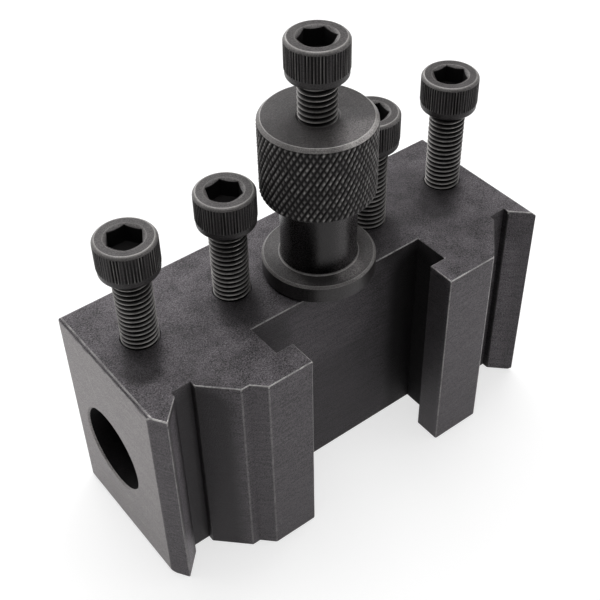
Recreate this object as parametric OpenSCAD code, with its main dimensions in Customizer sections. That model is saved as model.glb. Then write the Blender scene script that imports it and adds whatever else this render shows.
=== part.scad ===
// Quick change tool holder for round boring bars, as fitted to a lathe's toolpost.
// X runs along the bar, the front (-Y) faces the toolpost and Z is up.
// The origin is in the middle of the underside, and sizes are in millimetres.

/* [Block] */
// Length of the block's left end, from the root of the left V groove
left_end = 11.8; // [9.6:0.2:20]
// Length of the block's right end, from the root of the right V groove
right_end = 8.4; // [5:0.2:20]
// Wall between the back of the T slot and the bar bore
slot_wall = 3.3; // [2:0.1:6]
// Wall behind the bar bore
back_wall = 6.9; // [4:0.1:15]
// Wall under the bar bore
floor_t = 16.9; // [8:0.1:25]
// Wall over the bar bore, into which the screws are threaded
roof_t = 22.6; // [19.4:0.1:30]
// Break on the block's straight outer edges
edge_break = 0.8; // [0.3:0.1:1.2]

/* [V Grooves] */
// Distance between the sharp roots of the two V grooves
v_spacing = 107.5; // [97:0.5:125]
// Depth of each V's sharp root behind the front lands
v_depth = 14.4; // [13:0.2:16]
// Angle between the flanks of a V
v_angle = 90; // [84:1:96]
// Width of the relief cut along the root of a V
v_relief_w = 5.6; // [4:0.1:7]
// Depth of the relief cut below the inner edges of the flanks
v_relief_depth = 1.8; // [1:0.1:3]
// Depth of the outer horns' tips behind the front lands
horn_depth = 5.6; // [5:0.2:8]
// Depth behind the front lands at which an end face of the block starts, where it clears the horn
corner_depth = 10.4; // [9:0.2:12]
// Width of the ledge beside the inner flank of the left V
ledge_w = 2.4; // [1:0.1:3.5]
// Depth of that ledge behind the front lands
ledge_depth = 3.4; // [2:0.1:4.5]

/* [T Slot] */
// Width of the slot's mouth between the two lips
slot_mouth_w = 46.8; // [40:0.2:52]
// Width of the slot behind the lips
slot_w = 57.2; // [54:0.2:60]
// Thickness of the lips
lip_t = 8.2; // [6:0.2:11]
// Depth of the slot behind the front lands
slot_depth = 18.8; // [15:0.2:24]

/* [Bar Bore] */
// Diameter of the bore for the boring bar
bar_d = 25; // [16:0.5:32]
// Chamfer at the mouths of the bore
bar_chamfer = 0.5; // [0.2:0.1:1.5]

/* [Cap Screws] */
// Thread diameter of the screws and of the stud
thread_d = 10; // [8:0.5:11]
// Radial clearance between a thread and its hole
thread_clear = 0.05; // [0.02:0.01:0.1]
// Pitch of that thread
thread_pitch = 1.5; // [1:0.25:2]
// Diameter of a screw's head
head_d = 16; // [15:0.5:18]
// Height of a screw's head
head_h = 10; // [8.5:0.5:12]
// Chamfer round the top of a screw's head
head_chamfer = 0.8; // [0.4:0.1:1.2]
// Height of the plain band under the knurl of a head
band_h = 2; // [1.4:0.1:2.6]
// Distance by which that band stands inside the knurl
band_inset = 0.2; // [0.1:0.05:0.4]
// Chamfer round the underside of that band
band_chamfer = 0.6; // [0.3:0.1:1]
// Size of the hexagonal socket across its flats
hex_af = 8; // [6:0.5:9]
// Depth of the hexagonal socket
hex_depth = 5.2; // [4:0.2:6]
// Distance by which the socket's entry is countersunk past the corners
hex_entry = 0.6; // [0.1:0.05:0.8]
// Chamfer at the tip of a screw and at the top of the stud
tip_chamfer = 1; // [0.4:0.1:1.5]
// Countersink at the top of each threaded hole
hole_entry = 0.3; // [0.1:0.1:0.6]

/* [Clamp Screws] */
// Length of a clamp screw under its head
clamp_len = 40; // [36:0.5:44]
// Distance by which the outer clamp screws stand inside the roots of the V grooves
clamp_inset = 1.65; // [0:0.05:4]
// Gap along the bar between the nut and the heads of the inner clamp screws
clamp_gap = 0.3; // [0.1:0.1:2]
// Height of the left pair's heads above the block
left_rise = 22.8; // [20:0.2:26]
// Height of the right pair's heads above the block
right_rise = 25.8; // [22:0.2:28]

/* [Screw Turns] */
// Turn at which the first clamp screw stands, counted from the left
turn_1 = 0; // [0:1:359]
// Turn at which the second clamp screw stands
turn_2 = 9; // [0:1:359]
// Turn at which the third clamp screw stands
turn_3 = 22; // [0:1:359]
// Turn at which the fourth clamp screw stands
turn_4 = 0; // [0:1:359]
// Turn at which the lock screw stands
lock_turn = 32; // [0:1:359]

/* [Height Nut] */
// Distance of the nut's axis behind the back of the T slot
nut_inset = 8.4; // [7:0.1:11]
// Running gap between the flange and the top of the block
nut_gap = 0.4; // [0.3:0.1:1]
// Diameter of the flange
flange_d = 30.6; // [28:0.2:34]
// Thickness of the flange
flange_t = 5.4; // [3:0.1:7]
// Chamfer round the top of the flange
flange_chamfer = 0.6; // [0.3:0.1:1]
// Diameter of the neck
neck_d = 20.4; // [16:0.2:24]
// Length of the neck between the flange and the knurled head
neck_len = 20.9; // [16:0.1:26]
// Width of the ring at the foot of the neck
foot_w = 0.6; // [0.4:0.1:1]
// Height of that ring
foot_h = 0.4; // [0.2:0.1:0.6]
// Diameter over the knurled head
knob_d = 30.2; // [27:0.2:34]
// Height of the knurled head
knob_h = 21.9; // [16:0.1:26]
// Chamfer round the top of the knurled head
knob_chamfer = 1; // [0.5:0.1:1.5]
// Chamfer round the underside of the knurled head
knob_lower = 0.5; // [0.2:0.1:1]

/* [Stud and Lock Screw] */
// Length of the stud's thread inside the block
stud_grip = 16; // [12:0.5:17]
// Room left under the stud in its blind hole
stud_room = 1; // [0.5:0.1:1.5]
// Length of the lock screw under its head
lock_len = 25; // [22:0.5:30]
// Height of the lock screw's head above the nut
lock_rise = 11.4; // [9:0.2:14]
// Gap between the tip of the lock screw and the top of the stud
lock_gap = 0.2; // [0.05:0.05:0.5]

/* [Hidden] */
$fn = 96;

// How far a cutter reaches past a face, so that no skin is left
over = 1;

// The block's box follows from the walls round the bore and from the ends past the V grooves
v_half = v_spacing / 2;
block_len = left_end + v_spacing + right_end;
half_len = block_len / 2;
post_x = (left_end - right_end) / 2;
bar_depth = slot_depth + slot_wall + bar_d / 2;
block_depth = bar_depth + bar_d / 2 + back_wall;
bar_z = floor_t + bar_d / 2;
block_h = bar_z + bar_d / 2 + roof_t;
bar_y = front(bar_depth);
nut_y = front(slot_depth + nut_inset);
hole_d = thread_d + 2 * thread_clear;

// Places of the four clamp screws, from left to right
clamp_outer = v_half - clamp_inset;
clamp_inner = (max(flange_d, knob_d) + head_d) / 2 + clamp_gap;
clamp_x = [post_x - clamp_outer, post_x - clamp_inner, post_x + clamp_inner, post_x + clamp_outer];
clamp_rise = [left_rise, left_rise, right_rise, right_rise];
clamp_turn = [turn_1, turn_2, turn_3, turn_4];

// Depth of the thread below its crests and width of a crest, and the rise of one flank
thread_depth = 0.6134 * thread_pitch;
crest_w = thread_pitch / 8;
flank_h = thread_depth * tan(30);

// Heights that the nut, the stud and the lock screw share
nut_z = block_h + nut_gap;
neck_z = nut_z + flange_t;
knob_z = neck_z + neck_len;
nut_top = knob_z + knob_h;
lock_z = nut_top + lock_rise;
stud_top = lock_z - lock_len - lock_gap;
stud_z = block_h - stud_grip;

// Y of a plane that lies d behind the front lands
function front(d) = d - block_depth / 2;

// Sideways run of a V's flank over a rise of d
function run(d) = d * tan(v_angle / 2);

// Outer flank and horn of a V seen on the right, to the end face at a distance e from its root.
// A flank that meets the end face before the horn's tip runs out there.
function horn(e) =
    let (tip = run(v_depth - horn_depth))
    tip < e
        ? [[tip, horn_depth], [e, corner_depth]]
        : [[e, v_depth - e / tan(v_angle / 2)]];

// The relief along the root of a V, from its inner to its outer edge
function relief() =
    let (h = v_relief_w / 2, d = v_depth - h / tan(v_angle / 2))
    [[-h, d], [-h, d + v_relief_depth], [h, d + v_relief_depth], [h, d]];

// A list of [x, depth] from the middle of the toolpost to the right, and its mirror image
function placed(points, at) = [for (p = points) [at + p[0], p[1]]];
function mirrored(points) = [for (i = [len(points) - 1:-1:0]) [-points[i][0], points[i][1]]];

// Half of the T slot, from its back to the edge of the lip
slot_half = [[slot_w / 2, slot_depth], [slot_w / 2, lip_t], [slot_mouth_w / 2, lip_t],
    [slot_mouth_w / 2, 0]];

right_v = concat(relief(), horn(right_end));
left_v = concat(relief(), horn(left_end));
right_jaw = [[v_half - run(v_depth), 0]];
ledge_x = v_half - run(v_depth - ledge_depth);
left_jaw = [[ledge_x - ledge_w - ledge_depth, 0], [ledge_x - ledge_w, ledge_depth],
    [ledge_x, ledge_depth]];

right_side = concat(slot_half, right_jaw, placed(right_v, v_half));
left_side = mirrored(concat(slot_half, left_jaw, placed(left_v, v_half)));
mating = [for (p = concat(left_side, right_side)) [post_x + p[0], front(p[1])]];
back_y = front(block_depth);
outline = concat(mating, [[half_len, back_y - edge_break], [half_len - edge_break, back_y],
    [edge_break - half_len, back_y], [-half_len, back_y - edge_break]]);

// Half section of the turned nut, as [radius, height above its underside]
neck_base = neck_z - nut_z;
knob_base = knob_z - nut_z;
nut_full = nut_top - nut_z;
nut_half = [
    [0, 0],
    [flange_d / 2, 0],
    [flange_d / 2, flange_t - flange_chamfer],
    [flange_d / 2 - flange_chamfer, flange_t],
    [neck_d / 2 + foot_w, neck_base],
    [neck_d / 2 + foot_w - foot_h, neck_base + foot_h],
    [neck_d / 2, neck_base + foot_h],
    [neck_d / 2, knob_base],
    [knob_d / 2 - knob_lower, knob_base],
    [knob_d / 2, knob_base + knob_lower],
    [knob_d / 2, nut_full - knob_chamfer],
    [knob_d / 2 - knob_chamfer, nut_full],
    [0, nut_full]
];

// Half section of a thread, as [radius, height above its tip]. Plain rings stand for the helix.
function thread_half(length) =
    let (crest = thread_d / 2, root = crest - thread_depth,
        ring = [[crest, crest_w], [root, crest_w + flank_h], [root, thread_pitch - flank_h],
            [crest, thread_pitch]],
        rings = floor((length - tip_chamfer) / thread_pitch) - 1)
    concat(
        [[0, 0], [crest - tip_chamfer, 0], [crest, tip_chamfer]],
        [for (i = [0:rings - 1], p = ring) [p[0], tip_chamfer + i * thread_pitch + p[1]]],
        [[crest, length], [0, length]]);

// A cutter that breaks one straight edge, lying along X at the origin
module edge_cutter(length) {
    rotate([45, 0, 0])
        cube([length, edge_break * sqrt(2), edge_break * sqrt(2)], center = true);
}

// Breaks the edges round the ends and the back of the block, at height z
module edge_cutters(z) {
    translate([0, back_y, z])
        edge_cutter(block_len + 2 * over);
    for (side = [-1, 1])
        translate([side * half_len, 0, z])
            rotate(90)
                edge_cutter(block_depth + 2 * over);
}

// A threaded hole of depth d, drawn down from the origin with its entry countersunk
module threaded_hole(d) {
    translate([0, 0, -d])
        cylinder(d = hole_d, h = d + over);
    translate([0, 0, -hole_entry])
        cylinder(d1 = hole_d, d2 = hole_d + 4 * hole_entry, h = 2 * hole_entry);
}

// The hexagonal socket of a screw, drawn down from the origin, with its drill point
module hex_socket() {
    corner_d = hex_af / cos(30);
    mouth_d = corner_d + 2 * hex_entry;
    entry_h = (mouth_d - hex_af) / 2 * tan(30);
    point_h = hex_af / 2 * tan(30);
    translate([0, 0, -hex_depth])
        cylinder(d = corner_d, h = hex_depth + over, $fn = 6);
    translate([0, 0, -hex_depth - point_h])
        cylinder(d1 = 0, d2 = hex_af, h = point_h);
    translate([0, 0, -entry_h])
        cylinder(d1 = hex_af, d2 = 2 * mouth_d - hex_af, h = 2 * entry_h);
}

// A cap screw with its head's underside at the origin and its thread below
module cap_screw(length) {
    band_d = head_d - 2 * band_inset;
    translate([0, 0, -length])
        rotate_extrude()
            polygon(thread_half(length + band_h));
    difference() {
        union() {
            cylinder(d1 = band_d - 2 * band_chamfer, d2 = band_d, h = band_chamfer);
            translate([0, 0, band_chamfer])
                cylinder(d = band_d, h = band_h - band_chamfer);
            translate([0, 0, band_h])
                cylinder(d = head_d, h = head_h - band_h - head_chamfer);
            translate([0, 0, head_h - head_chamfer])
                cylinder(d1 = head_d, d2 = head_d - 2 * head_chamfer, h = head_chamfer);
        }
        translate([0, 0, head_h])
            hex_socket();
    }
}

module holder_body() {
    color([0.2, 0.19, 0.19])
        difference() {
            linear_extrude(block_h)
                polygon(outline);
            edge_cutters(0);
            edge_cutters(block_h);
            translate([0, bar_y, bar_z])
                rotate([0, 90, 0]) {
                    cylinder(d = bar_d, h = block_len + 2 * over, center = true);
                    for (end = [0, 1])
                        mirror([0, 0, end])
                            translate([0, 0, half_len - bar_chamfer])
                                cylinder(d1 = bar_d, d2 = bar_d + 4 * bar_chamfer, h = 2 * bar_chamfer);
                }
            for (x = clamp_x)
                translate([x, bar_y, block_h])
                    threaded_hole(roof_t + bar_d / 2);
            translate([post_x, nut_y, block_h])
                threaded_hole(stud_grip + stud_room);
        }
}

module clamp_screw(i) {
    color([0.16, 0.15, 0.15])
        translate([clamp_x[i], bar_y, block_h + clamp_rise[i]])
            rotate(clamp_turn[i])
                cap_screw(clamp_len);
}

module height_stud() {
    color([0.16, 0.15, 0.15])
        translate([post_x, nut_y, stud_top])
            mirror([0, 0, 1])
                rotate_extrude()
                    polygon(thread_half(stud_top - stud_z));
}

module height_nut() {
    color([0.18, 0.17, 0.17])
        translate([post_x, nut_y, nut_z])
            difference() {
                rotate_extrude()
                    polygon(nut_half);
                translate([0, 0, -over])
                    cylinder(d = hole_d, h = nut_top - nut_z + 2 * over);
                translate([0, 0, nut_top - nut_z - hole_entry])
                    cylinder(d1 = hole_d, d2 = hole_d + 4 * hole_entry, h = 2 * hole_entry);
            }
}

module lock_screw() {
    color([0.16, 0.15, 0.15])
        translate([post_x, nut_y, lock_z])
            rotate(lock_turn)
                cap_screw(lock_len);
}

holder_body();
clamp_screw(0);  // clamp_screw_1
clamp_screw(1);  // clamp_screw_2
clamp_screw(2);  // clamp_screw_3
clamp_screw(3);  // clamp_screw_4
height_stud();
height_nut();
lock_screw();
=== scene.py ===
# Quick change tool holder for round boring bars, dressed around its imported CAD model.
# Sizes in the dictionaries are in millimetres, in the CAD model's own frame.
import math

import bmesh
import bpy
from mathutils import Matrix, Vector


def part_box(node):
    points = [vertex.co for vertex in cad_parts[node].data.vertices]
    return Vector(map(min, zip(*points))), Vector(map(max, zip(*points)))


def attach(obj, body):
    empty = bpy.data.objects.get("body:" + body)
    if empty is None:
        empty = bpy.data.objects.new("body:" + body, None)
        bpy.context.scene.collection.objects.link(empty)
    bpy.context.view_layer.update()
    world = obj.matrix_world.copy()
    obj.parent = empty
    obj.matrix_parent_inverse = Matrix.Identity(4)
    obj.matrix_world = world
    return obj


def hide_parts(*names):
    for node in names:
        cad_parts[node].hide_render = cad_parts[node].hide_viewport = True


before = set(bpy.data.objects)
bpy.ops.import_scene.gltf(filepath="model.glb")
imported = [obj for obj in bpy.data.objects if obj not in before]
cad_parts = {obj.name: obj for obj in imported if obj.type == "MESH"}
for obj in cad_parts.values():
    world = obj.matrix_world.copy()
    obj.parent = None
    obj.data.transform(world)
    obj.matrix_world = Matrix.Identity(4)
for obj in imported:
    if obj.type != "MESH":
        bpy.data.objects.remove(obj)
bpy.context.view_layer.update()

mm = 0.001
mergeDistance = 0.000002  # metres; points nearer than this become one
scene = bpy.context.scene

# Camera, floor and light

viewpoint = {
    "place": (-0.139294, -0.179354, 0.265854),  # metres
    "azimuth": -36.812,  # degrees round the object, from the toolpost side
    "elevation": 43.146,
    "roll": -1.337,
    "lens": 67.42,
    "sensorWidth": 36,
    "nearest": 0.01,  # metres, what lies closer isn't seen
}
studio = {
    "floorRadius": 3000,
    "floorDrop": 0.05,  # keeps the floor clear of the block's underside
    "floorColour": (0.45, 0.45, 0.45),
    "floorRoughness": 0.9,
    "floorGlow": 0.66,  # what the camera and reflections see on top of the lit floor
    "glowStart": 250,  # from this distance on the glow rises to white
    "glowReach": 350,  # over this length
    "skyColour": (1.0, 1.0, 1.0),
    "aim": (0, 0, 50),
    "lampReach": 1200,
}
# lamps look at the aim from lampReach away: degrees round and above it, width in mm, power in watts
lamps = {
    "topLamp": {"azimuth": 0, "elevation": 90, "size": 1200, "power": 9.4},
    "rightHighLamp": {"azimuth": 120, "elevation": 55, "size": 800, "power": 4.9},
    "backLamp": {"azimuth": 170, "elevation": 30, "size": 800, "power": 5.2},
    "leftLamp": {"azimuth": -140, "elevation": 25, "size": 1200, "power": 4.0},
    "rightLowLamp": {"azimuth": 55, "elevation": 12, "size": 800, "power": 2.5},
}


def directionOf(facts):
    turn, rise = math.radians(facts["azimuth"]), math.radians(facts["elevation"])
    return Vector((math.sin(turn) * math.cos(rise), -math.cos(turn) * math.cos(rise), math.sin(rise)))


def makeCamera(facts):
    roll, back = math.radians(facts["roll"]), directionOf(facts)
    side = back.cross(Vector((0, 0, -1))).normalized()
    up = back.cross(side)
    axes = (side * math.cos(roll) + up * math.sin(roll), up * math.cos(roll) - side * math.sin(roll), back)
    camera = bpy.data.objects.new("camera", bpy.data.cameras.new("camera"))
    camera.matrix_world = Matrix.Translation(facts["place"]) @ Matrix(axes).transposed().to_4x4()
    camera.data.lens = facts["lens"]
    camera.data.sensor_width = facts["sensorWidth"]
    camera.data.clip_start = facts["nearest"]
    scene.collection.objects.link(camera)
    scene.camera = camera


def makeLamps(lampList, room):
    for name, facts in lampList.items():
        light = bpy.data.lights.new(name, "AREA")
        light.shape = "DISK"
        light.size = facts["size"] * mm
        light.energy = facts["power"]
        lamp = bpy.data.objects.new(name, light)
        lamp.location = (Vector(room["aim"]) + directionOf(facts) * room["lampReach"]) * mm
        lamp.rotation_euler = directionOf(facts).to_track_quat("Z", "Y").to_euler()
        scene.collection.objects.link(lamp)


# Small helpers for node trees


def addNode(tree, kind, **settings):
    made = tree.nodes.new(kind)
    for name, value in settings.items():
        setattr(made, name, value)
    return made


def feed(tree, socket, value):
    if isinstance(value, bpy.types.NodeSocket):
        tree.links.new(value, socket)
    else:
        socket.default_value = value


def feedAll(tree, node, values):
    for name, value in values.items():
        feed(tree, node.inputs[name], value)
    return node


def calc(tree, operation, *values, clamp=False):
    made = addNode(tree, "ShaderNodeMath", operation=operation, use_clamp=clamp)
    for socket, value in zip(made.inputs, values):
        feed(tree, socket, value)
    return made.outputs[0]


def vectorCalc(tree, operation, *values):
    made = addNode(tree, "ShaderNodeVectorMath", operation=operation)
    for socket, value in zip(made.inputs, values):
        feed(tree, socket, value)
    return made.outputs["Value" if operation in ("DOT_PRODUCT", "LENGTH", "DISTANCE") else "Vector"]


def ramp(tree, value, low, high, start=0.0, end=1.0):
    made = addNode(tree, "ShaderNodeMapRange", interpolation_type="SMOOTHSTEP")
    for socket, number in zip(made.inputs, (value, low, high, start, end)):
        feed(tree, socket, number)
    return made.outputs[0]


def noise(tree, vector, size, detail=2.0, roughness=0.5):
    return feedAll(tree, addNode(tree, "ShaderNodeTexNoise"), {"Vector": vector, "Scale": 1 / (size * mm),
        "Detail": detail, "Roughness": roughness}).outputs[0]


def mixColour(tree, factor, first, second):
    made = addNode(tree, "ShaderNodeMix", data_type="RGBA")
    for index, value in ((0, factor), (6, first), (7, second)):
        feed(tree, made.inputs[index], value)
    return made.outputs[2]


def combineAxes(tree, *values):
    made = addNode(tree, "ShaderNodeCombineXYZ")
    for socket, value in zip(made.inputs, values):
        feed(tree, socket, value)
    return made.outputs[0]


def splitAxes(tree, vector):
    made = addNode(tree, "ShaderNodeSeparateXYZ")
    feed(tree, made.inputs[0], vector)
    return made.outputs


def storedMark(tree, name):
    return addNode(tree, "ShaderNodeAttribute", attribute_name=name).outputs["Fac"]


def emptyTree(owner):
    # the node tree of a new material or world, without the nodes it starts with
    owner.use_nodes = True
    owner.node_tree.nodes.clear()
    return owner.node_tree


def makeSurface(tree, values):
    shader = feedAll(tree, addNode(tree, "ShaderNodeBsdfPrincipled"), values)
    feed(tree, addNode(tree, "ShaderNodeOutputMaterial").inputs["Surface"], shader.outputs[0])


def newTree(name, kind, inputs, outputs):
    tree = bpy.data.node_groups.new(name, kind)
    for label, kindOfSocket, value in inputs:
        socket = tree.interface.new_socket(label, in_out="INPUT", socket_type="NodeSocket" + kindOfSocket)
        if value is not None:
            socket.default_value = value
    for label, kindOfSocket in outputs:
        tree.interface.new_socket(label, in_out="OUTPUT", socket_type="NodeSocket" + kindOfSocket)
    return tree, addNode(tree, "NodeGroupInput").outputs, addNode(tree, "NodeGroupOutput").inputs


def useGroup(tree, group, values):
    kind = "GeometryNodeGroup" if group.bl_idname == "GeometryNodeTree" else "ShaderNodeGroup"
    return feedAll(tree, addNode(tree, kind, node_tree=group), values).outputs


# Shader groups shared by the finishes

oxideGrain = {
    "fineSize": 0.34, "fineDetail": 2.0, "fineRoughness": 0.85,
    "streakSize": 0.6, "streakDetail": 1.0, "streakRoughness": 0.6,
    "streakStretch": (0.12, 0.12, 1.0),  # streaks run long across the upright axis
    "patchSize": 8.0, "patchDetail": 3.0, "patchRoughness": 0.6,
    "speckSize": 0.3, "speckDetail": 1.0, "speckStart": 0.6, "speckFull": 0.74,
    "darkest": 0.15,
}
scuffing = {
    "coarseSize": 3.0, "coarseDetail": 3.0, "coarseShare": 0.6,
    "fineSize": 0.5, "fineDetail": 2.0,
    "roughness": 0.6,
    "breakStart": 0.42, "breakFull": 0.6,
}
turningRings = {"width": 0.2, "detail": 1.5}


def makeGrainGroup(size):
    # sandy grain of the oxide, faint streaks along the grinding and slow patches, round 1, and a height
    tree, given, result = newTree("oxideGrain", "ShaderNodeTree",
        [("Vector", "Vector", None), ("Grain", "Float", 0.5), ("Streaks", "Float", 0.2),
            ("Patches", "Float", 0.3), ("Specks", "Float", 0.5)],
        [("Tone", "Float"), ("Height", "Float")])
    place = given["Vector"]
    stretched = vectorCalc(tree, "MULTIPLY", place, size["streakStretch"])
    fine = noise(tree, place, size["fineSize"], size["fineDetail"], size["fineRoughness"])
    streak = noise(tree, stretched, size["streakSize"], size["streakDetail"], size["streakRoughness"])
    slow = noise(tree, place, size["patchSize"], size["patchDetail"], size["patchRoughness"])
    tone = 1.0
    for source, amount in ((fine, "Grain"), (streak, "Streaks"), (slow, "Patches")):
        swing = calc(tree, "MULTIPLY", given[amount], 2.0)
        tone = calc(tree, "MULTIPLY_ADD", calc(tree, "SUBTRACT", source, 0.5), swing, tone)
    specks = ramp(tree, noise(tree, place, size["speckSize"], size["speckDetail"]), size["speckStart"],
        size["speckFull"])
    tone = calc(tree, "MULTIPLY_ADD", specks, given["Specks"], calc(tree, "MAXIMUM", tone, size["darkest"]))
    feed(tree, result["Tone"], tone)
    feed(tree, result["Height"], fine)
    return tree


def makeWornLineGroup():
    # 1 within half the width of the line between two points, falling to 0 at the width
    tree, given, result = newTree("wornLine", "ShaderNodeTree",
        [("Vector", "Vector", None), ("Start", "Vector", None), ("End", "Vector", None),
            ("Width", "Float", 0.001), ("Amount", "Float", 1.0)],
        [("Mask", "Float")])
    along = vectorCalc(tree, "SUBTRACT", given["End"], given["Start"])
    offset = vectorCalc(tree, "SUBTRACT", given["Vector"], given["Start"])
    share = calc(tree, "DIVIDE", vectorCalc(tree, "DOT_PRODUCT", offset, along),
        vectorCalc(tree, "DOT_PRODUCT", along, along), clamp=True)
    scaled = addNode(tree, "ShaderNodeVectorMath", operation="SCALE")
    feed(tree, scaled.inputs[0], along)
    feed(tree, scaled.inputs["Scale"], share)
    distance = vectorCalc(tree, "DISTANCE", offset, scaled.outputs[0])
    near = ramp(tree, distance, calc(tree, "MULTIPLY", given["Width"], 0.5), given["Width"], 1.0, 0.0)
    feed(tree, result["Mask"], calc(tree, "MULTIPLY", near, given["Amount"]))
    return tree


def makeWearGroup(size):
    # breaks a plain mask of worn places into scuffs, as rubbed edges show
    tree, given, result = newTree("scuffedWear", "ShaderNodeTree",
        [("Vector", "Vector", None), ("Mask", "Float", 0.0), ("Breaks", "Float", 0.5)],
        [("Mask", "Float")])
    coarse = noise(tree, given["Vector"], size["coarseSize"], size["coarseDetail"], size["roughness"])
    fine = noise(tree, given["Vector"], size["fineSize"], size["fineDetail"], size["roughness"])
    rough = calc(tree, "ADD", calc(tree, "MULTIPLY", coarse, size["coarseShare"]),
        calc(tree, "MULTIPLY", fine, 1 - size["coarseShare"]))
    broken = calc(tree, "MULTIPLY", ramp(tree, rough, size["breakStart"], size["breakFull"]), given["Breaks"])
    kept = calc(tree, "SUBTRACT", 1.0, broken)
    feed(tree, result["Mask"], calc(tree, "MULTIPLY", given["Mask"], kept, clamp=True))
    return tree


def makeTurningGroup(size):
    # fine rings left by the lathe round an upright axis
    tree, given, result = newTree("turningMarks", "ShaderNodeTree",
        [("Vector", "Vector", None), ("Axis", "Vector", None), ("Ring Width", "Float", size["width"] * mm)],
        [("Height", "Float")])
    fromAxis = vectorCalc(tree, "SUBTRACT", given["Vector"], given["Axis"])
    radius = vectorCalc(tree, "LENGTH", vectorCalc(tree, "MULTIPLY", fromAxis, (1, 1, 0)))
    rings = feedAll(tree, addNode(tree, "ShaderNodeTexNoise", noise_dimensions="1D"),
        {"W": calc(tree, "DIVIDE", radius, given["Ring Width"]), "Scale": 1.0, "Detail": size["detail"]})
    feed(tree, result["Height"], rings.outputs[0])
    return tree


grainGroup, wornLineGroup = makeGrainGroup(oxideGrain), makeWornLineGroup()
wearGroup, turningGroup = makeWearGroup(scuffing), makeTurningGroup(turningRings)

# Finishes

# colours are linear; paler is the lighter tone of the ground end faces, partly their thinner oxide and partly
# painted light, and a painted highlight on the rubbed chamfers and rims; bare the worn-through steel
blockFinish = {
    "oxide": (0.071, 0.0655, 0.0705, 1), "paler": (0.25, 0.238, 0.235, 1), "bare": (0.60, 0.585, 0.57, 1),
    "tint": (1.0, 0.955, 0.985, 1), "specular": 0.4, "roughness": 0.46, "roughGrain": 0.12, "metallic": 0.4,
    "grain": 3.3, "streaks": 0.8, "patches": 0.09, "specks": 1.3, "bump": 1.5,
    "breaks": 0.6, "markWear": 0.08, "wearPower": 2.0,
}
screwFinish = {
    "oxide": (0.042, 0.0385, 0.0393, 1), "paler": (0.20, 0.192, 0.187, 1), "bare": (0.50, 0.485, 0.47, 1),
    "tint": (1.0, 0.96, 0.97, 1), "specular": 0.25, "roughness": 0.36, "roughGrain": 0.06, "metallic": 0,
    "grain": 2.0, "streaks": 0.3, "patches": 0.5, "specks": 0.5, "bump": 0.6,
    "breaks": 0.35, "markWear": 1.0, "wearPower": 4.0,
}
nutFinish = {
    "oxide": (0.032, 0.0294, 0.030, 1), "paler": (0.20, 0.191, 0.186, 1), "bare": (0.50, 0.485, 0.47, 1),
    "tint": (1.0, 0.96, 0.97, 1), "specular": 0.35, "roughness": 0.38, "roughGrain": 0.06, "metallic": 0,
    "grain": 2.2, "streaks": 0.2, "patches": 0.4, "specks": 0.6, "bump": 0.7,
    "breaks": 0.4, "markWear": 1.0, "wearPower": 2.0,
}
# what the marks stored on the meshes do to every finish: shares taken off or added
markEffects = {
    "palerCalms": 0.5,  # of the grain, where paler is marked
    "polishDarkens": 0.5, "polishSmooths": 0.11,
    # where deep is marked the colour gets painted shade and the surface more roughness
    "deepPower": 0.65, "deepPaintedShade": 0.9, "deepRoughens": 0.45,
    "wornSmooths": 0.12, "wornMetal": 0.35,
    "bumpDistance": 0.1,  # height of the grain at full strength
    "turnedGrain": 0.5,  # of the grain's height is left beside turning marks
}
# rubbed edges of the block: start, end, how far round the edge it reaches and how bright it is
wornEdges = [
    ((-63.45, -17.2, 64.3), (-60.85, -21.4, 64.4), 1.4, 1.0),
    ((-60.85, -21.4, 62), (-60.85, -21.4, 0), 0.7, 0.4),
    ((-60.85, -21.4, 64.4), (-54.85, -15.4, 64.4), 0.8, 0.6),
    ((-49.25, -15.4, 64.4), (-41.05, -23.6, 64.4), 0.8, 0.75),
    ((-41.05, -23.6, 64.4), (-38.65, -23.6, 64.4), 0.8, 0.8),
    ((-38.65, -23.6, 64.4), (-35.25, -27, 64.4), 0.8, 0.8),
    ((-35.25, -27, 64.4), (-21.7, -27, 64.4), 0.8, 1.0),
    ((-21.7, -27, 64.4), (-21.7, -18.8, 64.4), 0.7, 0.6),
    ((-26.9, -8.2, 64.4), (30.3, -8.2, 64.4), 0.7, 0.5),
    ((30.3, -18.8, 64.4), (25.1, -18.8, 64.4), 0.7, 0.6),
    ((25.1, -18.8, 64.4), (25.1, -27, 64.4), 0.7, 0.6),
    ((25.1, -27, 64.4), (41.05, -27, 64.4), 0.8, 0.85),
    ((25.1, -27, 63), (25.1, -27, 0), 0.7, 0.5),
    ((-35.25, -27, 63), (-35.25, -27, 0), 0.7, 0.24),
    ((-41.05, -23.6, 63), (-41.05, -23.6, 0), 0.7, 0.2),
    ((-21.7, -27, 63), (-21.7, -27, 0), 0.7, 0.6),
    ((41.05, -27, 63), (41.05, -27, 0), 0.7, 0.7),
    ((58.25, -15.4, 64.4), (63.05, -20.2, 64.4), 1.2, 0.8),
    ((-63.85, -16.6, 63.7), (-63.85, 26.2, 63.7), 0.5, 0.5),
    ((-63.05, -17.9, 64.4), (-63.05, 26.2, 64.4), 0.5, 0.35),
]
# scratches and second rub lines beside the edges, listed the same way
scratches = [
    ((-60.3, -20.85, 64.5), (-60.3, -20.85, 2), 0.28, 0.3),
    ((-63.6, -17.3, 64.5), (-60.85, -21.4, 64.5), 0.55, 0.9),
    ((-60.6, -21.2, 64.5), (-58.6, -19.2, 64.5), 0.3, 0.5),
    ((-63.85, 15, 55), (-63.85, 11.5, 47), 0.25, 0.35),
    ((-63.85, 19.5, 60), (-63.85, 17.6, 58), 0.25, 0.4),
    ((24.9, -27.05, 60), (25.1, -26.9, 30), 0.3, 0.35),
    ((58.3, -15.4, 64.5), (63.2, -20.3, 64.5), 0.4, 0.6),
    ((-45.5, -18.6, 61), (-42.2, -21.9, 61.4), 0.2, 0.35),
]
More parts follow.
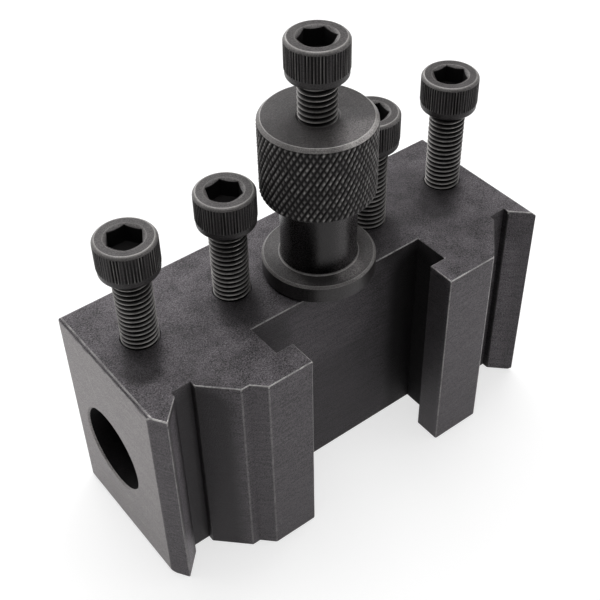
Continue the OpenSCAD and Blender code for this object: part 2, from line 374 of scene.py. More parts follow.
# painted light and shade along a line: painted light on the top, the slot's back and the horns, painted shade
# in the slot, the left groove and beside the nut, and dark streaks below the screws' feet as painted
# reflections; start, end, reach and share added
paintedBlockLight = [
    ((-64, 0, 64.5), (64, 0, 64.5), 60, 0.13),
    ((-52, 5, 64.5), (-56.5, -3, 64.5), 6.5, -0.6),
    ((-22, 4, 64.5), (-25, -1, 64.5), 8, -0.6),
    ((24, 3, 64.5), (21, -3, 64.5), 9, -0.55),
    ((51, 4.5, 64.5), (44, -1, 64.5), 7, -0.5),
    ((37, 4, 64.5), (45, 9, 64.5), 13, -0.3),
    ((-9, -8.2, 50), (4, -8.2, 50), 14, 0.45),
    ((42, -12, 64.5), (34, -20, 64.5), 10, -0.2),
    ((25.1, -22.5, 0), (25.1, -22.5, 60), 5, -0.45),
    ((0, -8.2, 20), (12, -8.2, 20), 20, -0.15),
    ((-27, -15, 64.5), (-27, -22, 64.5), 9, 0.15),
    ((-57.8, -18.4, 0), (-57.8, -18.4, 60), 3.6, 1.2),
    ((-48, -15.5, 0), (-48, -15.5, 56), 11, -0.75),
    ((29, -9, 0), (29, -9, 54), 11, -0.9),
    ((60, -14, 0), (60, -14, 50), 6, 0.5),
    ((-24, -8.4, 0), (-24, -8.4, 54), 13, -0.45),
]
# painted light on the nut, listed the same way: a painted highlight on the neck's and the knurl's right side
# and painted shade in the middle of the neck
paintedNutLight = [
    ((2.8, -9.9, 70), (2.8, -9.9, 88), 6, 1.5),
    ((-4.4, -8, 70), (-4.4, -8, 88), 6, -0.7),
    ((5.5, -14.5, 92), (5.5, -14.5, 111), 10, 1.6),
]


def nearLine(tree, place, line):
    # the mask of one entry in the lists of lines above
    start, end, width, amount = line
    return useGroup(tree, wornLineGroup, {"Vector": place, "Start": Vector(start) * mm,
        "End": Vector(end) * mm, "Width": width * mm, "Amount": amount})["Mask"]


def steelMaterial(name, finish, wornLines=(), freeLines=(), paintedLight=(), turningAxis=None):
    # worn lines show on the rounded edges only, free lines anywhere, and the lines of painted light lighten
    # or darken the colour as painted light and shade
    effects = markEffects
    material = bpy.data.materials.new(name)
    tree = emptyTree(material)
    place = addNode(tree, "ShaderNodeTexCoord").outputs["Object"]
    grain = useGroup(tree, grainGroup, {"Vector": place, "Grain": finish["grain"],
        "Streaks": finish["streaks"], "Patches": finish["patches"], "Specks": finish["specks"]})
    marks, polish, paler, deep = (storedMark(tree, mark) for mark in ("worn", "polish", "paler", "deep"))
    mask = calc(tree, "MULTIPLY", calc(tree, "POWER", marks, finish["wearPower"]), finish["markWear"])
    for line in wornLines:
        mask = calc(tree, "MAXIMUM", mask, calc(tree, "MULTIPLY", nearLine(tree, place, line), marks))
    for line in freeLines:
        mask = calc(tree, "MAXIMUM", mask, nearLine(tree, place, line))
    worn = useGroup(tree, wearGroup, {"Vector": place, "Mask": mask, "Breaks": finish["breaks"]})["Mask"]
    deep = calc(tree, "POWER", deep, effects["deepPower"])
    calm = calc(tree, "MULTIPLY_ADD", paler, -effects["palerCalms"], 1.0)
    level = calc(tree, "MULTIPLY_ADD", calc(tree, "SUBTRACT", grain["Tone"], 1.0), calm, 1.0)
    level = calc(tree, "MULTIPLY", level, calc(tree, "MULTIPLY_ADD", polish, -effects["polishDarkens"], 1.0))
    # painted shade where deep is marked
    level = calc(tree, "MULTIPLY", level, calc(tree, "MULTIPLY_ADD", deep, -effects["deepPaintedShade"], 1.0))
    # painted light and shade: each line adds its share to the colour
    for line in paintedLight:
        level = calc(tree, "MULTIPLY", level, calc(tree, "ADD", nearLine(tree, place, line), 1.0))
    tone = vectorCalc(tree, "MULTIPLY", mixColour(tree, paler, finish["oxide"], finish["paler"]), level)
    smoothest = finish["roughness"] - finish["roughGrain"]
    rough = calc(tree, "MULTIPLY_ADD", grain["Tone"], finish["roughGrain"], smoothest)
    for mark, change in ((polish, -effects["polishSmooths"]), (deep, effects["deepRoughens"]),
            (worn, -effects["wornSmooths"])):
        rough = calc(tree, "MULTIPLY_ADD", mark, change, rough)
    height = grain["Height"]
    if turningAxis:
        rings = useGroup(tree, turningGroup, {"Vector": place, "Axis": Vector(turningAxis) * mm})
        height = calc(tree, "MULTIPLY_ADD", height, effects["turnedGrain"], rings["Height"])
    bump = feedAll(tree, addNode(tree, "ShaderNodeBump"),
        {"Strength": finish["bump"], "Distance": effects["bumpDistance"] * mm, "Height": height})
    wornMetal = effects["wornMetal"] - finish["metallic"]
    makeSurface(tree, {
        "Base Color": mixColour(tree, worn, tone, finish["bare"]),
        "Specular IOR Level": finish["specular"], "Specular Tint": finish["tint"],
        "Metallic": calc(tree, "MULTIPLY_ADD", worn, wornMetal, finish["metallic"]),
        "Roughness": rough, "Normal": bump.outputs[0]})
    material.diffuse_color = finish["oxide"]
    return material


def seenByViewer(tree):
    # 1 for the camera's rays, also mirrored or through glass, and 0 for all others
    path = addNode(tree, "ShaderNodeLightPath").outputs
    seen = calc(tree, "ADD", path["Is Camera Ray"], path["Is Glossy Ray"], clamp=True)
    return calc(tree, "ADD", seen, path["Is Transmission Ray"], clamp=True)


def makeFloor(facts):
    material = bpy.data.materials.new("paleFloor")
    tree = emptyTree(material)
    # far off, where less lamp light falls, the floor glows up to white
    distance = vectorCalc(tree, "LENGTH", addNode(tree, "ShaderNodeTexCoord").outputs["Object"])
    beyond = calc(tree, "SUBTRACT", distance, facts["glowStart"] * mm)
    far = calc(tree, "DIVIDE", beyond, facts["glowReach"] * mm, clamp=True)
    glow = calc(tree, "MULTIPLY_ADD", far, 1 - facts["floorGlow"], facts["floorGlow"])
    makeSurface(tree, {
        "Base Color": (*facts["floorColour"], 1), "Roughness": facts["floorRoughness"],
        "Specular IOR Level": 0.0, "Emission Color": (1, 1, 1, 1),
        "Emission Strength": calc(tree, "MULTIPLY", seenByViewer(tree), glow)})
    shape = bmesh.new()
    bmesh.ops.create_circle(shape, cap_ends=True, segments=64, radius=facts["floorRadius"] * mm)
    mesh = bpy.data.meshes.new("floor")
    bmesh.ops.translate(shape, verts=shape.verts, vec=(0, 0, -facts["floorDrop"] * mm))
    shape.to_mesh(mesh)
    shape.free()
    mesh.materials.append(material)
    floor = bpy.data.objects.new("floor", mesh)
    scene.collection.objects.link(floor)


def makeSky(facts):
    # white where the camera looks past the floor; it lights nothing
    scene.world = bpy.data.worlds.new("studio")
    tree = emptyTree(scene.world)
    path = addNode(tree, "ShaderNodeLightPath").outputs
    sky = feedAll(tree, addNode(tree, "ShaderNodeBackground"),
        {"Color": (*facts["skyColour"], 1), "Strength": path["Is Camera Ray"]})
    feed(tree, addNode(tree, "ShaderNodeOutputWorld").inputs["Surface"], sky.outputs[0])


scene.view_settings.view_transform = "Standard"
makeCamera(viewpoint)
makeLamps(lamps, studio)
makeFloor(studio)
makeSky(studio)
print("studio made")

# Geometry trees of a threaded rod, a turned and knurled part, and a cap screw made of both

placing = [("Place", "Vector", None), ("Turn", "Vector", None), ("Finish", "Material", None)]
rodInputs = [("Length", "Float", 0.04), ("Buried", "Float", 0.001), ("Pitch", "Float", 0.0015),
    ("Crest Radius", "Float", 0.005), ("Root Radius", "Float", 0.0041), ("Tip Radius", "Float", 0.004),
    ("Neck Radius", "Float", 0.0046), ("Run Out", "Float", 0.001), ("Rod Segments", "Int", 48)]
turnedInputs = [("Profile", "Geometry", None), ("Segments", "Int", 360), ("Teeth", "Int", 90),
    ("Tooth Depth", "Float", 0.0002), ("Tooth Rise", "Float", 1000.0), ("Crossed", "Float", 0.0),
    ("Crest Share", "Float", 1.2), ("Ridge Wear", "Float", 0.4), ("Ridge Power", "Float", 3.0),
    ("Unevenness", "Float", 0.5), ("Seed", "Float", 0.0), ("Across Flats", "Float", 0.008)]
# rises of a thread over its crest, first flank and root in shares of the pitch; the second flank has the rest
threadRises = (0.125, 0.3125, 0.25)
knurlPatches = {
    "scale": 5.0, "detail": 2.0, "heightScale": 60.0,
    "crossedFrom": 0.42, "crossedTo": 0.58, "crossedLeast": 0.65,
    "shallowFrom": 0.38, "shallowTo": 0.62,
    "valleySpread": 1.6,  # above 1 spreads the valleys' painted shade onto the flanks of the ridges too
}


def gridOf(tree, columns, rows):
    # a sheet of columns round the axis and rows along it: its mesh, share of a turn and row number
    grid = feedAll(tree, addNode(tree, "GeometryNodeMeshGrid"),
        {"Size X": 1.0, "Size Y": 1.0, "Vertices X": columns, "Vertices Y": rows})
    spot = splitAxes(tree, addNode(tree, "GeometryNodeInputPosition").outputs[0])
    around = calc(tree, "ADD", spot[0], 0.5)
    share = calc(tree, "MULTIPLY", calc(tree, "ADD", spot[1], 0.5), calc(tree, "SUBTRACT", rows, 1.0))
    return grid.outputs[0], around, calc(tree, "FLOOR", calc(tree, "ADD", share, 0.5))


def circlePoint(tree, around, radius, height):
    angle = calc(tree, "MULTIPLY", around, 2 * math.pi)
    return combineAxes(tree, calc(tree, "MULTIPLY", radius, calc(tree, "COSINE", angle)),
        calc(tree, "MULTIPLY", radius, calc(tree, "SINE", angle)), height)


def wrapRound(tree, mesh, around, radius, height, given, result):
    # bends the sheet round its axis, closes it, then turns and places it
    bent = feedAll(tree, addNode(tree, "GeometryNodeSetPosition"),
        {"Geometry": mesh, "Position": circlePoint(tree, around, radius, height)})
    closed = feedAll(tree, addNode(tree, "GeometryNodeMergeByDistance"),
        {"Geometry": bent.outputs[0], "Distance": mergeDistance})
    finishTree(tree, closed.outputs[0], given, result)


def finishTree(tree, geometry, given, result):
    turn = feedAll(tree, addNode(tree, "FunctionNodeEulerToRotation"), {"Euler": given["Turn"]})
    moved = feedAll(tree, addNode(tree, "GeometryNodeTransform"),
        {"Geometry": geometry, "Translation": given["Place"], "Rotation": turn.outputs[0]})
    real = feedAll(tree, addNode(tree, "GeometryNodeRealizeInstances"), {"Geometry": moved.outputs[0]})
    coated = feedAll(tree, addNode(tree, "GeometryNodeSetMaterial"),
        {"Geometry": real.outputs[0], "Material": given["Finish"]})
    feed(tree, result["Geometry"], coated.outputs[0])


def storeValue(tree, mesh, name, value):
    return feedAll(tree, addNode(tree, "GeometryNodeStoreNamedAttribute", data_type="FLOAT", domain="POINT"),
        {"Geometry": mesh, "Name": name, "Value": value}).outputs[0]


def makeRodTree():
    # four rows to a pitch follow the thread, so its crests and roots stay crisp all the way round
    hair, fadeShare = 0.001, 0.6  # slack in counting rows, and how much of the run out the thread fades over
    tree, given, result = newTree("threadedRod", "GeometryNodeTree", rodInputs + placing,
        [("Geometry", "Geometry")])
    full = calc(tree, "DIVIDE", calc(tree, "ADD", given["Length"], given["Buried"]), given["Pitch"])
    turns = calc(tree, "ADD", calc(tree, "CEIL", full), 2.0)
    rows = calc(tree, "MULTIPLY_ADD", turns, 4.0, 1.0)
    mesh, around, row = gridOf(tree, calc(tree, "ADD", given["Rod Segments"], 1.0), rows)
    step = calc(tree, "MODULO", row, 4.0)
    lift = calc(tree, "FLOOR", calc(tree, "DIVIDE", row, 4.0))
    for number, rise in enumerate(threadRises):
        lift = calc(tree, "MULTIPLY_ADD", calc(tree, "GREATER_THAN", step, number + 0.5), rise, lift)
    climbed = calc(tree, "SUBTRACT", calc(tree, "ADD", lift, around), 1.0)
    height = calc(tree, "SUBTRACT", calc(tree, "MULTIPLY", climbed, given["Pitch"]), given["Length"])
    height = calc(tree, "MAXIMUM", height, calc(tree, "MULTIPLY", given["Length"], -1.0))
    height = calc(tree, "MINIMUM", height, given["Buried"])
    crest = calc(tree, "LESS_THAN", step, 1.5)
    depth = calc(tree, "SUBTRACT", given["Crest Radius"], given["Root Radius"])
    radius = calc(tree, "MULTIPLY_ADD", crest, depth, given["Root Radius"])
    tipLimit = calc(tree, "ADD", given["Tip Radius"], calc(tree, "ADD", height, given["Length"]))
    radius = calc(tree, "MINIMUM", radius, tipLimit)
    fade = calc(tree, "DIVIDE", calc(tree, "ADD", height, given["Run Out"]),
        calc(tree, "MULTIPLY", given["Run Out"], fadeShare), clamp=True)
    radius = calc(tree, "MULTIPLY_ADD", calc(tree, "SUBTRACT", given["Neck Radius"], radius), fade, radius)
    # the first and the last turn close on the axis
    winding = calc(tree, "MULTIPLY_ADD", around, 4.0, row)
    started = calc(tree, "GREATER_THAN", winding, 4.0 - hair)
    ended = calc(tree, "LESS_THAN", winding, calc(tree, "MULTIPLY_ADD", turns, 4.0, hair))
    radius = calc(tree, "MULTIPLY", radius, calc(tree, "MULTIPLY", started, ended))
    mesh = storeValue(tree, mesh, "worn", crest)
    # painted shade in the thread's roots, stored as deep
    mesh = storeValue(tree, mesh, "deep", calc(tree, "SUBTRACT", 1.0, crest))
    mesh = storeValue(tree, mesh, "polish", 0.3)
    wrapRound(tree, mesh, around, radius, height, given, result)
    return tree


def makeTurnedTree():
    # spins a half profile whose points say where teeth, hexagon, wear and polish lie
    patches = knurlPatches
    tree, given, result = newTree("turnedPart", "GeometryNodeTree", turnedInputs + placing,
        [("Geometry", "Geometry")])
    size = feedAll(tree, addNode(tree, "GeometryNodeAttributeDomainSize"), {"Geometry": given["Profile"]})
    mesh, around, row = gridOf(tree, calc(tree, "ADD", given["Segments"], 1.0), size.outputs["Point Count"])

    def fromProfile(name):
        if name:
            source = addNode(tree, "GeometryNodeInputNamedAttribute", data_type="FLOAT")
            feed(tree, source.inputs["Name"], name)
        else:
            source = addNode(tree, "GeometryNodeInputPosition")
        picked = addNode(tree, "GeometryNodeSampleIndex", data_type="FLOAT" if name else "FLOAT_VECTOR")
        feedAll(tree, picked, {"Geometry": given["Profile"], "Value": source.outputs[0], "Index": row})
        return picked.outputs[0]

    spot = splitAxes(tree, fromProfile(""))
    radius, height = spot[0], spot[2]
    # two sets of ridges lean to either side; in patches they get shallow and the second set fades
    count = calc(tree, "MULTIPLY", around, given["Teeth"])
    slant = calc(tree, "DIVIDE", height, given["Tooth Rise"])
    first, second = (calc(tree, "MULTIPLY", calc(tree, "PINGPONG", calc(tree, way, count, slant), 0.5), 2.0)
        for way in ("ADD", "SUBTRACT"))
    level = calc(tree, "MULTIPLY_ADD", height, patches["heightScale"], given["Seed"])
    patchy = feedAll(tree, addNode(tree, "ShaderNodeTexNoise"), {
        "Vector": circlePoint(tree, around, 1.0, level), "Scale": patches["scale"],
        "Detail": patches["detail"]}).outputs[0]
    crossed = calc(tree, "MULTIPLY", given["Crossed"],
        ramp(tree, patchy, patches["crossedFrom"], patches["crossedTo"], patches["crossedLeast"], 1.0))
    second = calc(tree, "MULTIPLY_ADD", calc(tree, "SUBTRACT", second, 1.0), crossed, 1.0)
    crest = calc(tree, "MULTIPLY", calc(tree, "MINIMUM", first, second), given["Crest Share"], clamp=True)
    valley = calc(tree, "SUBTRACT", 1.0, crest)
    shallow = ramp(tree, patchy, patches["shallowFrom"], patches["shallowTo"])
    depth = calc(tree, "SUBTRACT", 1.0, calc(tree, "MULTIPLY", shallow, given["Unevenness"]))
    depth = calc(tree, "MULTIPLY", calc(tree, "MULTIPLY", depth, given["Tooth Depth"]), fromProfile("knurl"))
    toothed = calc(tree, "SUBTRACT", radius, calc(tree, "MULTIPLY", depth, valley))
    # the socket's walls, and its mouth cut at 30 degrees like a countersink
    sixth = calc(tree, "SUBTRACT", calc(tree, "FRACT", calc(tree, "MULTIPLY", around, 6.0)), 0.5)
    flat = calc(tree, "DIVIDE", calc(tree, "MULTIPLY", given["Across Flats"], 0.5),
        calc(tree, "COSINE", calc(tree, "MULTIPLY", sixth, math.pi / 3)))
    drop = calc(tree, "MULTIPLY", calc(tree, "SUBTRACT", radius, flat), math.tan(math.radians(30)))
    height = calc(tree, "SUBTRACT", height, calc(tree, "MULTIPLY", drop, fromProfile("entry")))
    gap = calc(tree, "SUBTRACT", flat, toothed)
    shaped = calc(tree, "MULTIPLY_ADD", gap, fromProfile("hexagon"), toothed)
    shown = calc(tree, "DIVIDE", depth, given["Tooth Depth"])
    ridge = calc(tree, "MULTIPLY", calc(tree, "POWER", crest, given["Ridge Power"]), shown)
    ridge = calc(tree, "MULTIPLY", ridge, given["Ridge Wear"])
    mesh = storeValue(tree, mesh, "worn", calc(tree, "ADD", fromProfile("worn"), ridge))
    # painted shade in the knurl's valleys, added to the profile's deep marks
    valleyShade = calc(tree, "MULTIPLY", calc(tree, "MULTIPLY", valley, patches["valleySpread"], clamp=True), shown)
    mesh = storeValue(tree, mesh, "deep", calc(tree, "ADD", valleyShade, fromProfile("deep")))
    for name in ("polish", "paler"):
        mesh = storeValue(tree, mesh, name, fromProfile(name))
    wrapRound(tree, mesh, around, shaped, height, given, result)
    return tree


def makeScrewTree(rodTree, turnedTree):
    tree, given, result = newTree("capScrew", "GeometryNodeTree", turnedInputs + rodInputs + placing,
        [("Geometry", "Geometry")])
    head = useGroup(tree, turnedTree, {name: given[name] for name, kind, value in turnedInputs})
    rod = useGroup(tree, rodTree, {name: given[name] for name, kind, value in rodInputs})
    both = addNode(tree, "GeometryNodeJoinGeometry")
    feed(tree, both.inputs[0], rod[0])
    feed(tree, both.inputs[0], head[0])
    finishTree(tree, both.outputs[0], given, result)
    return tree


def runTree(name, tree, base, values):
    # runs the tree once on a base mesh and keeps the result as a plain mesh
    piece = bpy.data.objects.new(name, base)
    scene.collection.objects.link(piece)
    modifier = piece.modifiers.new(tree.name, "NODES")
    modifier.node_group = tree
    for item in tree.interface.items_tree:
        if item.item_type == "SOCKET" and item.in_out == "INPUT" and item.name in values:
            modifier[item.identifier] = values[item.name]
    graph = bpy.context.evaluated_depsgraph_get()
    mesh = bpy.data.meshes.new_from_object(piece.evaluated_get(graph), preserve_all_data_layers=True,
        depsgraph=graph)
    piece.modifiers.remove(modifier)
    piece.data = mesh
    return piece


def tidyMesh(piece, sharpAngle):
    shape = bmesh.new()
    shape.from_mesh(piece.data)
    bmesh.ops.recalc_face_normals(shape, faces=shape.faces)
    loose = sum(1 for edge in shape.edges if not edge.is_manifold)
    shape.to_mesh(piece.data)
    shape.free()
    piece.data.shade_smooth()
    piece.data.set_sharp_from_angle(angle=math.radians(sharpAngle))
    piece.data.name = piece.name
    print(piece.name, len(piece.data.polygons), "faces,", loose, "open edges")


def point(radius, height, **marks):
    return radius, height, marks


def profileMesh(name, points):
    mesh = bpy.data.meshes.new(name)
    mesh.from_pydata([(r * mm, 0, z * mm) for r, z, marks in points],
        [(i, i + 1) for i in range(len(points) - 1)], [])
    for label in ("knurl", "hexagon", "entry", "worn", "polish", "paler", "deep"):
        values = mesh.attributes.new(label, "FLOAT", "POINT")
        values.data.foreach_set("value", [float(marks.get(label, 0)) for r, z, marks in points])
    return mesh


rodTree, turnedTree = makeRodTree(), makeTurnedTree()
screwTree = makeScrewTree(rodTree, turnedTree)
print("trees made")

# Block

block = {
    "edgeRadius": 0.27, "edgeSegments": 3, "shortestEdge": 1.0,
    "foldAngle": 20,  # degrees; flatter folds stay as they are
    "flatAngle": 0.3,  # degrees; faces that meet flatter become one
    "brokenCorners": [(-63.05, -17.88, 0), (-60.85, -21.4, 0), (-21.7, -27, 0), (25.1, -27, 0),
        (-35.25, -27, 0)],
    "cornerReach": 0.3, "cornerBreak": 0.9, "cornerSegments": 2,
    "endAt": 63,  # upright faces beyond this are the ground ends, paler partly for their thinner oxide and partly as painted light
    # where the T slot and the grooves lie, and over what depth painted shade darkens their flanks inwards
    "recessStart": -36, "recessEnd": 61.5, "recessBack": -5, "recessFront": -23, "recessDepth": 3.5,
    "recessShade": 0.6, "slotShade": 0.15,
    "axisY": 7.6, "boreHeight": 29.4,
    # edges nearer to the bore's axis or to an upright hole's than the clear sizes stay sharp; faces inside
    # the bore get painted shade
    "boreClear": 14, "boreInside": 12.6, "boreMouth": 13.4, "boreShade": 0.95,
    "nutAxis": (1.7, 0.2),
    "screwAxes": (-50.4, -21.9, 25.3, 53.8), "holeClear": 6.5,
    "sharpAngle": 12,
}


def fromBoreAxis(spot):
    return Vector((spot.y - block["axisY"], spot.z - block["boreHeight"])).length


def isBrokenCorner(vert):
    distances = [(vert.co / mm - Vector(corner)).length for corner in block["brokenCorners"]]
    return min(distances) < block["cornerReach"]


def isStraightEdge(edge):
    # True on the milled edges, and not round the bore or the threaded holes
    middle = (edge.verts[0].co + edge.verts[1].co) / 2 / mm
    if fromBoreAxis(middle) < block["boreClear"]:
        return False
    holes = [(x, block["axisY"]) for x in block["screwAxes"]] + [block["nutAxis"]]
    if any(math.hypot(middle.x - x, middle.y - y) < block["holeClear"] for x, y in holes):
        return False
    long = edge.calc_length() > block["shortestEdge"] * mm
    folded = edge.calc_face_angle(0) > math.radians(block["foldAngle"])
    return long and edge.is_manifold and edge.is_convex and folded


def sharpenBorders(mesh):
    # keeps the shading of the rounded edges off the flat faces beside them
    shape = bmesh.new()
    shape.from_mesh(mesh)
    worn = shape.faces.layers.float["worn"]
    for edge in shape.edges:
        if len({face[worn] for face in edge.link_faces}) > 1:
            edge.smooth = False
    shape.to_mesh(mesh)
    shape.free()


def markFace(face, worn, paler, deep):
    # ground end faces are paler, partly their thinner oxide and partly painted light; the slot's and grooves'
    # flanks get painted shade inwards, the bore painted shade, and its mouth chamfer is paler and worn
    middle, facing = face.calc_center_median() / mm, face.normal
    face[paler] = float(abs(facing.x) > 0.99 and abs(middle.x) > block["endAt"])
    inRecess = block["recessStart"] < middle.x < block["recessEnd"] and middle.y < block["recessBack"]
    if abs(facing.z) < 0.1 and inRecess:
        share = min(max((middle.y - block["recessFront"]) / block["recessDepth"], 0), 1)
        face[deep] = share * (block["slotShade"] if facing.y < -0.9 else block["recessShade"])
    if abs(facing.x) < 0.5 and fromBoreAxis(middle) < block["boreInside"]:
        face[deep] = block["boreShade"]
    elif 0.3 < abs(facing.x) < 0.95 and fromBoreAxis(middle) < block["boreMouth"]:
        face[paler], face[worn] = 1, 1


def makeBlock(finish):
    shape = bmesh.new()
    shape.from_mesh(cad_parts["holder_body"].data)
    bmesh.ops.remove_doubles(shape, verts=shape.verts, dist=mergeDistance)
    bmesh.ops.dissolve_limit(shape, angle_limit=math.radians(block["flatAngle"]), verts=shape.verts,
        edges=shape.edges)
    marks = [shape.faces.layers.float.new(mark) for mark in ("worn", "paler", "deep")]
    corners = [vert for vert in shape.verts if isBrokenCorner(vert)]
    bmesh.ops.bevel(shape, geom=corners, offset=block["cornerBreak"] * mm, offset_type="OFFSET",
        segments=block["cornerSegments"], profile=0.5, affect="VERTICES")
    edges = [edge for edge in shape.edges if isStraightEdge(edge)]
    done = bmesh.ops.bevel(shape, geom=edges, offset=block["edgeRadius"] * mm, offset_type="OFFSET",
        segments=block["edgeSegments"], profile=0.5, affect="EDGES", clamp_overlap=False, miter_outer="SHARP")
    for face in done["faces"]:
        face[marks[0]] = 1.0
    for face in shape.faces:
        markFace(face, *marks)
    mesh = bpy.data.meshes.new("toolHolderBlock")
    shape.to_mesh(mesh)
    shape.free()
    mesh.materials.clear()
    mesh.materials.append(finish)
    piece = bpy.data.objects.new("toolHolderBlock", mesh)
    scene.collection.objects.link(piece)
    tidyMesh(piece, block["sharpAngle"])
    sharpenBorders(mesh)
    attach(piece, "holder")
    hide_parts("holder_body")
    print("block edges rounded:", len(edges))


blockSteel = steelMaterial("blockSteel", blockFinish, wornEdges, scratches, paintedBlockLight)
makeBlock(blockSteel)

# Cap screws and stud

capHead = {
    "radius": 8, "height": 10, "chamfer": 0.8,
    "bandHeight": 2, "bandStep": 0.2, "bandRound": 0.6, "bandSteps": 4,
    "rimSteps": 5, "rimInset": 0.03,
    "flats": 8.5, "socketDepth": 5.2, "entry": 0.3,
    "teeth": 64, "segmentsPerTooth": 6, "toothDepth": 0.5,
    "crestShare": 1.2, "ridgeWear": 0.97, "ridgePower": 1.7, "unevenness": 0.7, "seedStep": 3.7,
    "sharpAngle": 25,
}
thread = {
    "pitch": 1.5, "crest": 5.0, "root": 4.1, "tip": 4.0, "neck": 4.95, "runOut": 0.8, "segments": 56,
    "buried": 0.5,  # how far a screw's rod reaches up into its head
    "studEnd": 0.01,  # the same for the stud, which has no head
    "sharpAngle": 30,
}
screws = {
    "clampScrew1": {"node": "clamp_screw_1", "body": "clamp_1", "turn": 0, "length": 40},
    "clampScrew2": {"node": "clamp_screw_2", "body": "clamp_2", "turn": 9, "length": 40},
    "clampScrew3": {"node": "clamp_screw_3", "body": "clamp_3", "turn": 22, "length": 40},
    "clampScrew4": {"node": "clamp_screw_4", "body": "clamp_4", "turn": 0, "length": 40},
    "lockScrew": {"node": "lock_screw", "body": "lock", "turn": 32, "length": 25},
}


def headProfile(size):
    # half the head's section, from the middle of its underside round to the bottom of its socket
    edge, top = size["radius"] - size["bandStep"], size["height"]
    inner, shoulder = size["radius"] - size["chamfer"], top - size["chamfer"]
    corner = size["flats"] / 2 / math.cos(math.radians(30))
    mouth = corner + size["entry"]
    floor = top - size["socketDepth"]
    points = [point(0, 0.02), point(edge - size["bandRound"], 0)]
    for step in range(1, size["bandSteps"] + 1):
        angle = math.radians(90 * step / size["bandSteps"])
        points.append(point(edge - size["bandRound"] * (1 - math.sin(angle)),
            size["bandRound"] * (1 - math.cos(angle)), polish=0.3))
    points += [
        point(edge, size["bandHeight"], polish=0.3),
        point(size["radius"] - 0.02, size["bandHeight"], knurl=0.9),
        point(size["radius"], size["bandHeight"] + 0.15, knurl=1),
        point(size["radius"], shoulder - 0.05, knurl=1),
    ]
    # the rim bulges half way from a plain chamfer to a quarter circle; its paler and worn marks paint a
    # highlight along it, partly rubbed wear
    for step in range(size["rimSteps"] + 1):
        share = step / size["rimSteps"]
        angle = math.radians(90 * share)
        points.append(point(inner + size["chamfer"] * (math.cos(angle) + 1 - share) / 2 - size["rimInset"],
            top - size["chamfer"] * (2 - math.sin(angle) - share) / 2, paler=0.4 + 0.4 * share,
            worn=0.35 + 0.6 * share ** 2))
    points += [
        point(inner - 0.2, top, paler=0.3, worn=0.3),
        point(inner - 0.35, top, paler=0.17),
        point(mouth + 0.2, top, paler=0.17),
        point(mouth + 0.05, top, paler=0.5, worn=0.6),
        point(mouth - 0.03, top - 0.04, paler=0.5, worn=0.6),
        point(mouth - 0.03, top - 0.02, hexagon=1, entry=1, paler=0.08),
        # deep marks paint shade on the socket's walls and floor
        point(corner, top - 2 * size["entry"] - 0.4, hexagon=1, deep=0.9),
        point(corner, floor, hexagon=1, deep=1),
        point(size["flats"] / 2, floor, deep=1),
        point(0, floor - size["flats"] / 2 * math.tan(math.radians(30)), deep=1),
    ]
    return points


def rodValues(length, buried):
    sizes = {"Length": length, "Buried": buried, "Pitch": thread["pitch"], "Crest Radius": thread["crest"],
        "Root Radius": thread["root"], "Tip Radius": thread["tip"], "Neck Radius": thread["neck"],
        "Run Out": thread["runOut"]}
    return {**{name: size * mm for name, size in sizes.items()}, "Rod Segments": thread["segments"]}


def knurlValues(size):
    return {"Teeth": size["teeth"], "Tooth Depth": size["toothDepth"] * mm, "Crest Share": size["crestShare"],
        "Ridge Wear": size["ridgeWear"], "Ridge Power": size["ridgePower"], "Unevenness": size["unevenness"]}


def makeScrews(finish):
    for number, (name, facts) in enumerate(screws.items()):
        low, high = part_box(facts["node"])
        seat = Vector(((low.x + high.x) / 2, (low.y + high.y) / 2, high.z - capHead["height"] * mm))
        values = {**rodValues(facts["length"], thread["buried"]), **knurlValues(capHead)}
        values.update({"Segments": capHead["teeth"] * capHead["segmentsPerTooth"],
            "Seed": capHead["seedStep"] * number, "Across Flats": capHead["flats"] * mm, "Place": seat,
            "Turn": (0, 0, math.radians(facts["turn"])), "Finish": finish})
        piece = runTree(name, screwTree, profileMesh(name, headProfile(capHead)), values)
        tidyMesh(piece, capHead["sharpAngle"])
        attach(piece, facts["body"])
        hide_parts(facts["node"])


def makeStud(finish):
    low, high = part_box("height_stud")
    end = thread["studEnd"]
    values = rodValues((high.z - low.z) / mm - end, end)
    values.update({"Place": Vector(((low.x + high.x) / 2, (low.y + high.y) / 2, low.z + end * mm)),
        "Turn": (math.pi, 0, 0), "Finish": finish})
    piece = runTree("heightStud", rodTree, bpy.data.meshes.new("heightStud"), values)
    tidyMesh(piece, thread["sharpAngle"])
    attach(piece, "holder")
    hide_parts("height_stud")


screwSteel = steelMaterial("screwSteel", screwFinish)
makeScrews(screwSteel)
makeStud(screwSteel)

# Height nut

nut = {
    "hole": 5.05,
    "flange": 15.3, "flangeHeight": 5.4, "flangeChamfer": 0.6, "flangeUnder": 0.3,
    "neck": 10.2, "footWidth": 0.6, "footHeight": 0.4,
    "knob": 15.1, "knobStart": 26.3, "knobEnd": 48.2, "knobChamfer": 1.0, "knobUnder": 0.5,
    "entry": 0.3,
    "teeth": 60, "segmentsPerTooth": 10, "toothDepth": 0.6, "rows": 84,
    "lean": 30,  # degrees between the ridges and the axis
    "crossed": 0.9,  # depth of the second set of ridges beside the first
    "crestShare": 1.2, "ridgeWear": 0.95, "ridgePower": 1.6, "unevenness": 0.3, "seed": 11.0,
    "sharpAngle": 30,
}


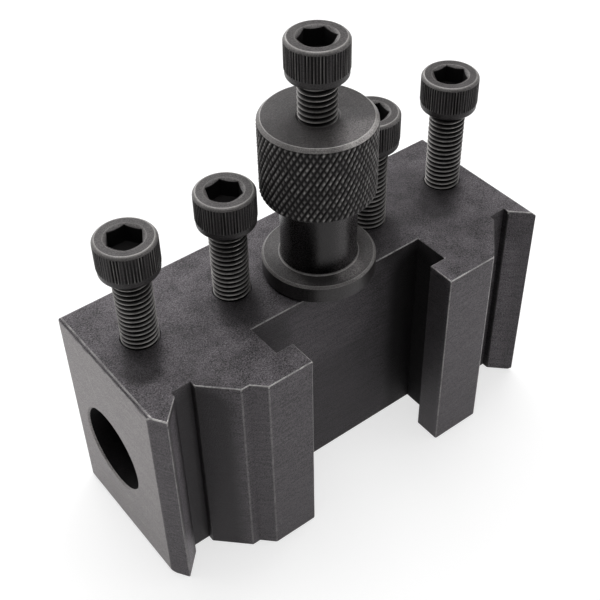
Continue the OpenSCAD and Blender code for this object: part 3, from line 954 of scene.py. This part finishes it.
def nutProfile(size):
    # half the nut's section, from its hole outwards and up; close pairs of points keep a mark's border crisp.
    # The paler marks on the chamfers and at the neck's foot paint highlights there
    top, knob, flange = size["knobEnd"], size["knob"], size["flange"]
    rim, crown = size["flangeHeight"], size["knobEnd"] - size["knobChamfer"]
    shoulder, foot = rim - size["flangeChamfer"], size["neck"] + size["footWidth"]
    points = [
        point(size["hole"], 0), point(flange - size["flangeUnder"], 0),
        point(flange, size["flangeUnder"], worn=0.3), point(flange, size["flangeUnder"] + 0.3),
        point(flange, shoulder - 0.1, polish=0.3),
        point(flange, shoulder, worn=0.5, paler=0.8),
        point(flange - 0.05, shoulder + 0.05, paler=0.6, worn=0.3),
        point(flange - size["flangeChamfer"] + 0.1, rim - 0.1, paler=0.6, worn=0.3),
        point(flange - size["flangeChamfer"], rim, paler=0.6, worn=0.8),
        point(flange - size["flangeChamfer"] - 0.1, rim, paler=0.18),
        point(foot + 0.06, rim, paler=0.18),
        point(foot, rim + 0.03, worn=0.8, paler=0.8),
        point(foot - size["footHeight"] + 0.05, rim + size["footHeight"] - 0.02, worn=0.4),
        point(foot - size["footHeight"], rim + size["footHeight"], polish=0.8),
        point(size["neck"], rim + size["footHeight"], polish=1),
        point(size["neck"], size["knobStart"], polish=1),
        point(knob - size["knobUnder"], size["knobStart"], polish=0.3),
    ]
    first, last = size["knobStart"] + size["knobUnder"], crown
    for step in range(size["rows"] + 1):
        points.append(point(knob, first + (last - first) * step / size["rows"], knurl=1))
    points += [
        point(knob - 0.1, crown + 0.1, paler=0.7, worn=0.2),
        point(knob - size["knobChamfer"] + 0.12, top - 0.12, paler=0.8, worn=0.2),
        point(knob - size["knobChamfer"] + 0.03, top - 0.03, paler=0.8, worn=0.7),
        point(knob - size["knobChamfer"] - 0.06, top, paler=0.8, worn=0.7),
        point(knob - size["knobChamfer"] - 0.2, top, paler=0.1),
        point(size["hole"] + 2 * size["entry"] + 0.1, top, paler=0.1),
        point(size["hole"] + 2 * size["entry"], top - 0.02, worn=0.5),
        point(size["hole"], top - size["entry"]),
        point(size["hole"], 0),
    ]
    return points


def makeNut(finish):
    low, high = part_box("height_nut")
    toothPitch = 2 * math.pi * nut["knob"] / nut["teeth"]
    values = knurlValues(nut)
    values.update({"Segments": nut["teeth"] * nut["segmentsPerTooth"],
        "Tooth Rise": -toothPitch / math.tan(math.radians(nut["lean"])) * mm, "Crossed": nut["crossed"],
        "Seed": nut["seed"], "Place": Vector(((low.x + high.x) / 2, (low.y + high.y) / 2, low.z)),
        "Turn": (0, 0, 0), "Finish": finish})
    piece = runTree("heightNut", turnedTree, profileMesh("heightNut", nutProfile(nut)), values)
    tidyMesh(piece, nut["sharpAngle"])
    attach(piece, "nut")
    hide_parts("height_nut")


nutSteel = steelMaterial("nutSteel", nutFinish, paintedLight=paintedNutLight, turningAxis=(*block["nutAxis"], 0))
makeNut(nutSteel)
